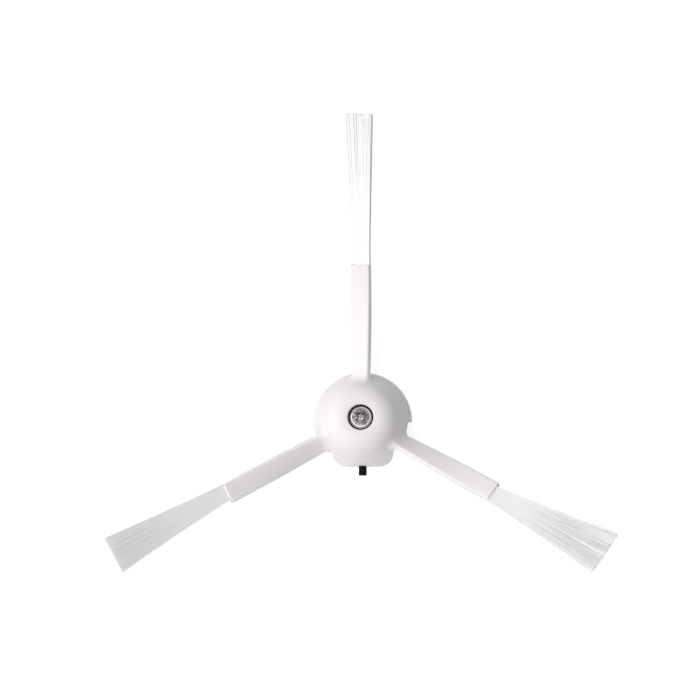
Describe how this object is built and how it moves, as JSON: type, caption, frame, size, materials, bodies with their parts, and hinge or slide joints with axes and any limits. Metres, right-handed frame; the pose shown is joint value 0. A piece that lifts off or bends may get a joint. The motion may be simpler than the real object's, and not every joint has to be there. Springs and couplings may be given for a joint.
{
  "type": "robot vacuum side brush",
  "caption": "Domed white hub with twisted strip arms that each end in a flat tuft of bristles, turned by a drive socket under the hub and fixed by a cross-recess screw through its middle",
  "frame": {"origin": "On the hub's axis, in the plane of the skirt's rim, at the mouth of the drive socket", "axes": "+Z along the hub's axis towards the screw head, +Y along the first arm as seen from above, +X across"},
  "size_m": [0.1344, 0.122, 0.027],
  "materials": {
    "white_moulding": "satin",
    "plated_steel": "satin",
    "black_moulding": "satin",
    "nylon_bristle": "satin",
    "anchor_wire": "satin"
  },
  "bodies": {
    "root": {"brush_body": "white_moulding", "fixing_screw": "plated_steel", "rim_peg": "black_moulding", "bristle_tuft_1": "nylon_bristle", "bristle_tuft_2": "nylon_bristle", "bristle_tuft_3": "nylon_bristle", "tuft_anchor_1": "anchor_wire", "tuft_anchor_2": "anchor_wire", "tuft_anchor_3": "anchor_wire"}
  },
  "joints": []
}
